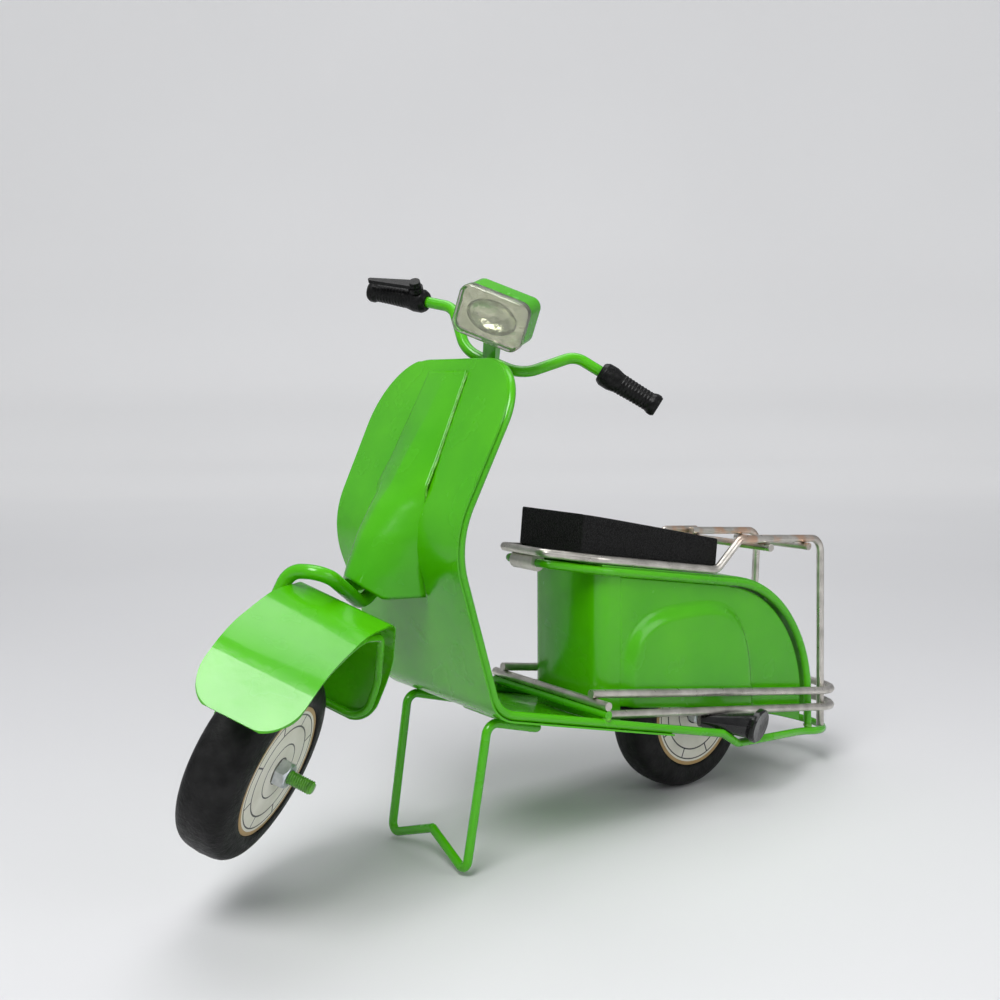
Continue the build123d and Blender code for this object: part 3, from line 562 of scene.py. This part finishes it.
def side_panel(name, sign, node):
    """Grid of the panel between its lower and upper edges, bulge pushed outwards."""
    share = np.linspace(0, 1, 110)
    x = panel_front + (panel_rear - panel_front) * (1 - (1 - share) ** 1.25)
    v = np.linspace(0, 1, 70)
    low, high = panel_bottom(x), panel_top(x)
    xx = np.repeat(x[:, None], len(v), axis=1)
    zz = low[:, None] + (high - low)[:, None] * v[None]
    yy = sign * (panel_skin + tin / 2 + bulge_height * bulge_shape(xx, zz))
    points = np.stack([xx, yy, zz], axis=-1).reshape(-1, 3)
    faces = grid_faces(len(x), len(v))
    if sign < 0:
        faces = faces[:, ::-1]
    piece = mesh_piece(name, points, faces, "chassis")
    wall = piece.modifiers.new("tin", "SOLIDIFY")
    wall.thickness = tin
    wall.offset = 0
    dress(piece, green)
    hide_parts(node)


side_panel("panel_right", 1, "side_panel_right")
side_panel("panel_left", -1, "side_panel_left")

# %% [markdown]
# The nose cover is one folded sheet over the column, narrow and flat at the top and standing
# proud like a beak at the bottom. Rows run down the shield, and each row is a V with rounded
# shoulders: lift = 1 - s + shoulder * 0.6 * sin(pi * s), where s runs from 0 at the ridge to 1 at
# the edge. The rows' edges are read from the CAD cover. The foot is cut up in an arch, so that
# the fork clears it as it turns. A lumpy weld bead runs down each side.

# %% Nose cover and its weld beads
cover_z = np.array([0.214, 0.196, 0.178, 0.166, 0.158, 0.146, 0.131, 0.1205])
cover_ridge = np.array([-0.1440, -0.1540, -0.1660, -0.1735, -0.1805, -0.1880, -0.1950, -0.1990])
cover_half = np.array([0.0140, 0.0155, 0.0172, 0.0186, 0.0194, 0.0194, 0.0185, 0.0175])
cover_shoulder = np.array([0.12, 0.12, 0.14, 0.16, 0.36, 0.42, 0.42, 0.42])
order = np.argsort(cover_z)
cad_cover = nodes["nose_cover"].data
cad_points = np.empty(len(cad_cover.vertices) * 3)
cad_cover.vertices.foreach_get("co", cad_points)
cad_points = cad_points.reshape(-1, 3)


def cover_base(row_z, half):
    """x of the CAD cover's edge at one row: the vertex nearest to that height and half width."""
    miss = np.hypot(cad_points[:, 2] - row_z, np.abs(cad_points[:, 1]) - half)
    near = cad_points[miss < miss.min() + 0.0002]
    return near[:, 0].min()


cover_edge = np.array([cover_base(z, half) for z, half in zip(cover_z, cover_half)])
share_y = np.linspace(-1, 1, 41)
arch_height, arch_share = 0.0082, 0.66
foot_cut = arch_height * np.clip(1 - (share_y / arch_share) ** 2, 0, None)
fall = np.linspace(0, 1, 70)
rows_z = cover_z[0] + (cover_z[-1] + foot_cut[None, :] - cover_z[0]) * fall[:, None]
edge_x = np.interp(rows_z, cover_z[order], cover_edge[order])
ridge_x = np.interp(rows_z, cover_z[order], cover_ridge[order])
half_y = np.interp(rows_z, cover_z[order], cover_half[order])
shoulder = np.interp(rows_z, cover_z[order], cover_shoulder[order])
size = np.abs(share_y)[None, :]
lift = 1 - size + shoulder * 0.6 * np.sin(np.pi * size)
cover_x = edge_x - (edge_x - ridge_x) * lift
kernel = np.array([1, 2, 3, 2, 1]) / 9
columns = [np.convolve(np.pad(column, 2, mode="edge"), kernel, mode="valid") for column in cover_x.T]
proud = 0.0003
cover_x = np.stack(columns, axis=1) - proud
cover_points = np.stack([cover_x, share_y[None, :] * half_y, rows_z], axis=-1)


def shield_front(z):
    """x of the cover's welded edge at a height."""
    return np.interp(z, cover_z[order], cover_edge[order])


cover_faces = grid_faces(len(fall), len(share_y))
cover = mesh_piece("nose_fold", cover_points.reshape(-1, 3), cover_faces, "chassis")
wall = cover.modifiers.new("tin", "SOLIDIFY")
wall.thickness = tin
wall.offset = -1
dress(cover, green)
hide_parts("nose_cover")

rng = np.random.default_rng(7)


def bead(name, path, radius, body, lumps=0.35):
    """A lumpy tube along a path: radius * (1 + lumps * noise) at each ring."""
    path = np.asarray(path, dtype=float)
    tangent = np.gradient(path, axis=0)
    tangent = tangent / np.linalg.norm(tangent, axis=1)[:, None]
    helper = np.array([0.13, 0.97, 0.2])
    first = np.cross(tangent, helper)
    first = first / np.linalg.norm(first, axis=1)[:, None]
    second = np.cross(tangent, first)
    angle = np.linspace(0, 2 * np.pi, 9, endpoint=False)
    size = radius * (1 + lumps * rng.uniform(-1, 1, (len(path), 9)))
    size[0] = size[0] * 0.3
    size[-1] = size[-1] * 0.3
    ring = np.cos(angle)[None, :, None] * first[:, None] + np.sin(angle)[None, :, None] * second[:, None]
    points = path[:, None] + size[..., None] * ring
    faces = [*grid_faces(len(path), 9, wrap_columns=True), tuple(range(9))[::-1]]
    last = (len(path) - 1) * 9
    faces.append(tuple(range(last, last + 9)))
    piece = mesh_piece(name, points.reshape(-1, 3), faces, body)
    fix_normals(piece)
    dress(piece, weld_green)


for side_name, sign in (("left", -1), ("right", 1)):
    z = np.linspace(0.2135, 0.1215, 120)
    y = sign * np.interp(z, cover_z[order], cover_half[order])
    x = shield_front(z) - 0.0002
    bead("nose_weld_" + side_name, np.column_stack([x, y, z]), 0.00055, "chassis")


def blob(name, centre, radii, body):
    """A lumpy brazing blob: an ellipsoid with a little noise on its radius."""
    rings, steps = 7, 12
    u = np.linspace(0, np.pi, rings + 2)[1:-1]
    v = np.linspace(0, 2 * np.pi, steps, endpoint=False)
    uu, vv = np.meshgrid(u, v, indexing="ij")
    size = 1 + 0.16 * rng.uniform(-1, 1, uu.shape)
    sphere = np.stack([np.sin(uu) * np.cos(vv), np.sin(uu) * np.sin(vv), np.cos(uu)], axis=-1)
    points = np.asarray(centre) + sphere * size[..., None] * np.asarray(radii)
    top = np.asarray(centre) + np.array([0, 0, radii[2]])
    bottom = np.asarray(centre) - np.array([0, 0, radii[2]])
    grid = grid_faces(rings, steps, wrap_columns=True)
    j, last, count = np.arange(steps), (rings - 1) * steps, rings * steps
    cap_top = np.stack([np.full(steps, count), j, (j + 1) % steps], axis=-1)
    cap_bottom = np.stack([np.full(steps, count + 1), last + (j + 1) % steps, last + j], axis=-1)
    all_points = np.vstack([points.reshape(-1, 3), top, bottom])
    piece = mesh_piece(name, all_points, [*grid, *cap_top, *cap_bottom], body)
    fix_normals(piece)
    dress(piece, weld_green)


weld_spots = {
    "weld_bar_left": ((-0.088, -0.0405, 0.0588), (0.0022, 0.0022, 0.0014)),
    "weld_bar_right": ((-0.088, 0.0405, 0.0588), (0.0022, 0.0022, 0.0014)),
    "weld_rail_left": ((-0.0865, -0.0345, 0.0625), (0.0018, 0.0022, 0.0016)),
    "weld_rail_right": ((-0.0865, 0.0345, 0.0625), (0.0018, 0.0022, 0.0016)),
    "weld_body_left": ((0.0705, -0.0275, 0.0237), (0.0022, 0.0022, 0.0018)),
    "weld_body_right": ((0.0705, 0.0275, 0.0237), (0.0022, 0.0022, 0.0018)),
}
for spot_name, (spot, radii) in weld_spots.items():
    blob(spot_name, spot, radii, "chassis")
print("nose edge", cover_edge.round(4), "rows", len(rows_z), "welds", len(weld_spots) + 2)

# %% [markdown]
# The seat is a firm foam block wrapped in leatherette, nearly square at its corners. A box of
# points is pulled onto a small corner radius (point = nearest point of the inner box plus
# radius times the direction out of it). The top is crowned by (1 - u^4)(1 - v^4), and the long
# sides are drawn in a little at half height.

# %% Seat cushion
cushion_low, cushion_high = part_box("seat_cushion")
cushion_front, cushion_rear = -0.088, 0.002
hoop_rise, board_gap = 0.0051, 0.0006
bottom_front = body_top + hoop_rise + board_gap - body_slope * cushion_front


def cushion_surface():
    """Six grids of points that cover a box from -1 to 1, closer together near its edges."""
    count = 41
    line = np.linspace(-1, 1, count)
    line = np.sign(line) * (1 - (1 - np.abs(line)) ** 1.5)
    a, b = np.meshgrid(line, line, indexing="ij")
    one = np.ones_like(a)
    sides = [(a, b, one), (b, a, -one), (one, a, b), (-one, b, a), (b, one, a), (a, -one, b)]
    points, faces = [], []
    for index, (x, y, z) in enumerate(sides):
        points.append(np.stack([x, y, z], axis=-1).reshape(-1, 3))
        faces.append(grid_faces(count, count) + index * count * count)
    return np.vstack(points), np.vstack(faces)


unit_points, cushion_faces = cushion_surface()
length, half_width, corner = cushion_rear - cushion_front, 0.0229, 0.0016
inner = np.array([length / 2 - corner, half_width - corner, 1.0])
u, v, w = unit_points.T
front_height, rear_height, lean = 0.0194, 0.0154, 0.10
height = front_height + (rear_height - front_height) * (u + 1) / 2
local = np.stack([u * length / 2, v * half_width, (w + 1) / 2 * height], axis=-1)
centre_box = np.stack([
    np.clip(local[:, 0], -inner[0], inner[0]),
    np.clip(local[:, 1], -inner[1], inner[1]),
    np.clip(local[:, 2], corner, height - corner),
], axis=-1)
away = local - centre_box
distance = np.linalg.norm(away, axis=1)
outwards = away / np.maximum(distance, 1e-9)[:, None]
rounded = centre_box + outwards * np.minimum(distance, corner)[:, None]
crown = 0.0007 * (1 - np.abs(u) ** 4) * (1 - np.abs(v) ** 4) * (w > 0.99) - 0.0006 * (w > 0.99)
rounded[:, 2] = rounded[:, 2] + crown
waist = -0.0005 * np.sin(np.pi * rounded[:, 2] / height) * (1 - np.abs(u) ** 6)
rounded[:, 1] = rounded[:, 1] + np.sign(v) * waist * (np.abs(v) > 0.99)
shift_x = lean * rounded[:, 2]
cushion_x = cushion_front + length / 2 + rounded[:, 0] + shift_x
cushion_z = bottom_front - body_slope * (rounded[:, 0] + length / 2) + rounded[:, 2]
cushion_points = np.column_stack([cushion_x, rounded[:, 1], cushion_z])
cushion = mesh_piece("seat_pad", cushion_points, cushion_faces, "seat")
fix_normals(cushion)
dress(cushion, leather)
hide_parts("seat_cushion")
print("cushion", [round(float(s), 4) for s in np.array(cushion_high) - np.array(cushion_low)])

# %% [markdown]
# The grips are moulded rubber sleeves: a bulge at the inner end, a slim waist, a ring at the
# outer end and fine ribs between. Each is one turned profile with a ripple along its length.

# %% Grips
grip_start = np.array([-0.1040, 0.0439, 0.2289])
grip_end = np.array([-0.1017, 0.0733, 0.2234])


def grip_profile(length):
    """(radius, height): interpolated outline plus a ripple of 0.12 mm every 1.6 mm."""
    height = np.linspace(0, length, 120)
    radius = np.interp(
        height / length,
        [0, 0.02, 0.07, 0.20, 0.32, 0.60, 0.84, 0.90, 0.96, 1.0],
        [0.0040, 0.0046, 0.0054, 0.0055, 0.0047, 0.0044, 0.0043, 0.0050, 0.0050, 0.0043])
    ribs = (height > length * 0.34) & (height < length * 0.82)
    radius = radius + ribs * 0.00012 * np.sin(2 * np.pi * height / 0.0016)
    inner = np.array([[0.00255, length - 0.0031], [0.00255, 0.0]])
    outer = np.column_stack([radius, height])
    tip = np.array([[0.0028, length - 0.0002], [0.0001, length - 0.0002], [0.0001, length - 0.0031]])
    return np.vstack([outer, tip, inner])


for side_name, sign in (("right", 1), ("left", -1)):
    flip = np.array([1.0, sign, 1.0])
    start = steered(grip_start * flip)[0]
    finish_point = steered(grip_end * flip)[0]
    run = finish_point - start
    profile = grip_profile(np.linalg.norm(run))
    grip = turned_piece("grip_sleeve_" + side_name, profile, start, run, "steering", 48)
    fix_normals(grip)
    dress(grip, grip_black)
    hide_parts("grip_" + side_name)
print("grips at", [round(float(c), 3) for c in start])

# %% [markdown]
# The stage: a pale grey sweep under soft light. The camera stands a little left of the nose,
# a little below the handlebar, with a short telephoto lens. The backdrop glows for the camera
# alone, so it looks pale without lighting the paint.

# %% Stage, lamps and camera
sweep_y = np.array([-1.6, -0.4, 0.4, 1.0, 1.6, 2.2, 2.7, 3.0, 3.1, 3.1, 3.1])
sweep_z = np.array([0, 0, 0, 0, 0, 0.02, 0.18, 0.55, 1.2, 2.4, 4.0])
fine = np.linspace(0, 1, 60)
knots = np.linspace(0, 1, len(sweep_y))
path_y = np.interp(fine, knots, sweep_y)
path_z = np.interp(fine, knots, sweep_z)
yaw = math.radians(37.247)
back = np.array([math.sin(yaw), math.cos(yaw)])
sideways = np.array([math.cos(yaw), -math.sin(yaw)])
lateral = np.linspace(-3.5, 3.5, 5)
floor_points = np.array([
    [*(back * y + sideways * s), z] for y, z in zip(path_y, path_z) for s in lateral])
floor_mesh = bpy.data.meshes.new("studio_sweep")
floor_faces = grid_faces(len(fine), len(lateral))[:, ::-1]
floor_mesh.from_pydata([tuple(p) for p in floor_points], [], [tuple(f) for f in floor_faces])
floor_mesh.polygons.foreach_set("use_smooth", [True] * len(floor_mesh.polygons))
floor = bpy.data.objects.new("studio_sweep", floor_mesh)
bpy.context.scene.collection.objects.link(floor)
paper, paper_tree, paper_shader = new_material("studio_paper")
cloudy = ramp(paper_tree, noise(paper_tree, 1.2), [(0.3, (0.60, 0.60, 0.61)), (0.7, (0.64, 0.64, 0.65))])
paper_tree.links.new(cloudy, paper_shader.inputs["Base Color"])
paper_shader.inputs["Roughness"].default_value = 0.55
paper_place = paper_tree.nodes.new("ShaderNodeTexCoord")
paper_split = paper_tree.nodes.new("ShaderNodeSeparateXYZ")
paper_tree.links.new(paper_place.outputs["Object"], paper_split.inputs["Vector"])
wall_share = paper_tree.nodes.new("ShaderNodeMath")
wall_share.operation = "MULTIPLY_ADD"
wall_share.inputs[1].default_value = math.sin(yaw)
paper_tree.links.new(paper_split.outputs["X"], wall_share.inputs[0])
depth_y = paper_tree.nodes.new("ShaderNodeMath")
depth_y.operation = "MULTIPLY"
depth_y.inputs[1].default_value = math.cos(yaw)
paper_tree.links.new(paper_split.outputs["Y"], depth_y.inputs[0])
paper_tree.links.new(depth_y.outputs[0], wall_share.inputs[2])
glow = paper_tree.nodes.new("ShaderNodeMapRange")
glow.interpolation_type = "SMOOTHSTEP"
glow.inputs["From Min"].default_value = 0.05
glow.inputs["From Max"].default_value = 2.0
glow.inputs["To Max"].default_value = 0.37
paper_tree.links.new(wall_share.outputs[0], glow.inputs["Value"])
seen = paper_tree.nodes.new("ShaderNodeLightPath")
camera_glow = paper_tree.nodes.new("ShaderNodeMath")
camera_glow.operation = "MULTIPLY"
paper_tree.links.new(glow.outputs["Result"], camera_glow.inputs[0])
paper_tree.links.new(seen.outputs["Is Camera Ray"], camera_glow.inputs[1])
paper_shader.inputs["Emission Strength"].default_value = 1.0
paper_tree.links.new(camera_glow.outputs[0], paper_shader.inputs["Emission Color"])
dress(floor, paper)

world = bpy.data.worlds.new("studio")
world.use_nodes = True
world.node_tree.nodes["Background"].inputs["Color"].default_value = (0.86, 0.88, 0.92, 1)
world.node_tree.nodes["Background"].inputs["Strength"].default_value = 0.40
bpy.context.scene.world = world


def softbox(name, place, target, size, power):
    """A square area lamp aimed at a target point."""
    lamp = bpy.data.lights.new(name, "AREA")
    lamp.shape = "SQUARE"
    lamp.size = size
    lamp.energy = power
    holder = bpy.data.objects.new(name, lamp)
    toward = unit(np.asarray(target) - np.asarray(place))
    first, second = across(-toward)
    matrix = np.eye(4)
    matrix[:3, 0], matrix[:3, 1], matrix[:3, 2], matrix[:3, 3] = first, second, -toward, place
    holder.matrix_world = Matrix(matrix.tolist())
    bpy.context.scene.collection.objects.link(holder)


softbox("key", (-0.9, -0.5, 1.3), (-0.05, 0, 0.1), 0.7, 20)
softbox("fill", (0.5, -1.4, 0.7), (-0.05, 0, 0.1), 0.9, 6)
softbox("top", (0.1, 0.3, 1.6), (-0.05, 0, 0.0), 1.0, 10)

pitch, roll = math.radians(5.769), math.radians(-0.301)
forward = np.array([math.sin(yaw) * math.cos(pitch), math.cos(yaw) * math.cos(pitch), -math.sin(pitch)])
right = np.array([math.cos(yaw), -math.sin(yaw), 0.0])
upward = np.cross(right, forward)
camera_x = math.cos(roll) * right + math.sin(roll) * upward
camera_y = -math.sin(roll) * right + math.cos(roll) * upward
camera_data = bpy.data.cameras.new("camera")
camera_data.lens = 42.44
camera_data.sensor_width = 36.0
camera = bpy.data.objects.new("camera", camera_data)
camera_matrix = np.eye(4)
camera_matrix[:3, 0], camera_matrix[:3, 1], camera_matrix[:3, 2] = camera_x, camera_y, -forward
camera_matrix[:3, 3] = (-0.43711, -0.42177, 0.20977)
camera.matrix_world = Matrix(camera_matrix.tolist())
bpy.context.scene.collection.objects.link(camera)
bpy.context.scene.camera = camera
bpy.context.scene.view_settings.view_transform = "Standard"
